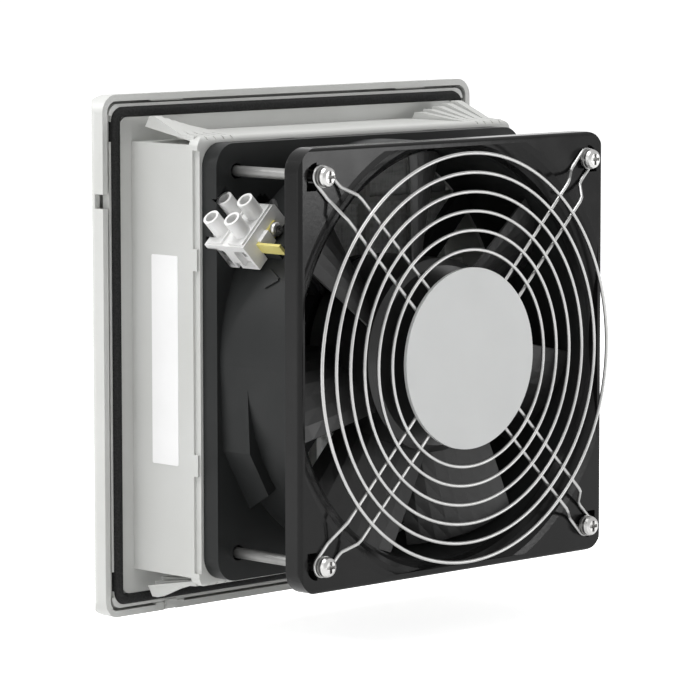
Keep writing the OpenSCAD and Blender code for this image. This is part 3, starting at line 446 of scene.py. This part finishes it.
def makeFleece():
    low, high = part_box("filter_mat")
    middle = [(a + b) / 2 for a, b in zip(low, high)]
    bpy.ops.mesh.primitive_cube_add(size=1, location=middle)
    piece = bpy.context.object
    piece.name = "fleeceMat"
    piece.scale = [b - a - 2 * fleece["lump"] for a, b in zip(low, high)]
    applyPlace(piece)
    bpy.ops.object.mode_set(mode="EDIT")
    bpy.ops.mesh.select_all(action="SELECT")
    bpy.ops.mesh.bevel(offset=fleece["edge"], segments=fleece["edgeSteps"], affect="EDGES")
    bpy.ops.object.mode_set(mode="OBJECT")
    clearPicks("FACE")
    for face in piece.data.polygons:
        face.select = abs(face.normal.y) > fleece["faceNormal"]
    bpy.ops.object.mode_set(mode="EDIT")
    bpy.ops.mesh.subdivide(number_cuts=fleece["cuts"])
    bpy.ops.transform.vertex_random(offset=fleece["lump"], normal=1.0, seed=fleece["seed"])
    bpy.ops.mesh.vertices_smooth(factor=fleece["settle"], repeat=1)
    bpy.ops.mesh.select_all(action="SELECT")
    bpy.ops.mesh.normals_make_consistent(inside=False)
    bpy.ops.object.mode_set(mode="OBJECT")
    bpy.ops.object.shade_smooth_by_angle(angle=math.radians(fleece["smoothDegrees"]))
    piece.data.materials.append(filterFleece)
    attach(piece, "base")
    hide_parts("filter_mat")


makeBead()
makeFleece()
print("seal bead and filter fleece made")

# pale floor with a faint shadow, just below the opened cover, and white surroundings
studio = {
    "floorLevel": -0.0785, "floorSize": 60, "floorTone": 0.9, "floorGlow": 0.81,
    "ambient": 0.35, "backdrop": 1.0,
}


# 1 for what the camera sees straight or in a mirror, 0 for light that falls on the part
def seenDirectly(tree):
    path = tree.nodes.new("ShaderNodeLightPath")
    rayNames = ("Is Camera Ray", "Is Glossy Ray", "Is Transmission Ray")
    rays = [path.outputs[name] for name in rayNames]
    seen = rays[0]
    for ray in rays[1:]:
        most = tree.nodes.new("ShaderNodeMath")
        most.operation = "MAXIMUM"
        tree.links.new(seen, most.inputs[0])
        tree.links.new(ray, most.inputs[1])
        seen = most.outputs["Value"]
    return seen


def makeFloor():
    level = (0, 0, studio["floorLevel"])
    bpy.ops.mesh.primitive_plane_add(size=studio["floorSize"], location=level)
    floor = bpy.context.object
    floor.name = "studioFloor"
    material, tree, surface = emptyMaterial("paleFloor")
    diffuse = tree.nodes.new("ShaderNodeBsdfDiffuse")
    diffuse.inputs["Color"].default_value = (*[studio["floorTone"]] * 3, 1)
    glow = tree.nodes.new("ShaderNodeEmission")
    glowLevel = tree.nodes.new("ShaderNodeMath")
    glowLevel.operation = "MULTIPLY"
    glowLevel.inputs[1].default_value = studio["floorGlow"]
    tree.links.new(seenDirectly(tree), glowLevel.inputs[0])
    tree.links.new(glowLevel.outputs["Value"], glow.inputs["Strength"])
    both = tree.nodes.new("ShaderNodeAddShader")
    tree.links.new(diffuse.outputs["BSDF"], both.inputs[0])
    tree.links.new(glow.outputs["Emission"], both.inputs[1])
    tree.links.new(both.outputs["Shader"], surface)
    floor.data.materials.append(material)


def makeWorld():
    world = bpy.data.worlds.new("whiteStudio")
    bpy.context.scene.world = world
    world.use_nodes = True
    tree = world.node_tree
    tree.nodes.clear()
    output = tree.nodes.new("ShaderNodeOutputWorld")
    background = tree.nodes.new("ShaderNodeBackground")
    background.inputs["Color"].default_value = (1, 1, 1, 1)
    level = tree.nodes.new("ShaderNodeMapRange")
    level.inputs["To Min"].default_value = studio["ambient"]
    level.inputs["To Max"].default_value = studio["backdrop"]
    tree.links.new(seenDirectly(tree), level.inputs["Value"])
    tree.links.new(level.outputs["Result"], background.inputs["Strength"])
    tree.links.new(background.outputs["Background"], output.inputs["Surface"])


# square soft lights: above, at the +X side, behind the guard and in front of the cover
softboxes = {
    "keyBox": {"place": (0.45, 0.0, 1.25), "aim": (0, 0.03, 0), "size": 0.8, "power": 14.5},
    "sideBox": {"place": (1.3, -0.05, 0.2), "aim": (0, 0.03, 0), "size": 0.8, "power": 3.2},
    "rearBox": {"place": (-0.752, 1.024, 0.12), "aim": (0, 0.03, 0), "size": 0.35, "power": 2.8},
    "rimBox": {"place": (0.45, -1.1, 0.52), "aim": (0, 0, 0), "size": 0.4, "power": 7.0},
}


def makeLights():
    for name, box in softboxes.items():
        bpy.ops.object.light_add(type="AREA", location=box["place"])
        lamp = bpy.context.object
        lamp.name = name
        lamp.data.shape = "SQUARE"
        lamp.data.size = box["size"]
        lamp.data.energy = box["power"]
        turnTowards(lamp, box["place"], box["aim"])


makeFloor()
makeWorld()
makeLights()
bpy.context.scene.view_settings.view_transform = "Standard"
print("studio set")
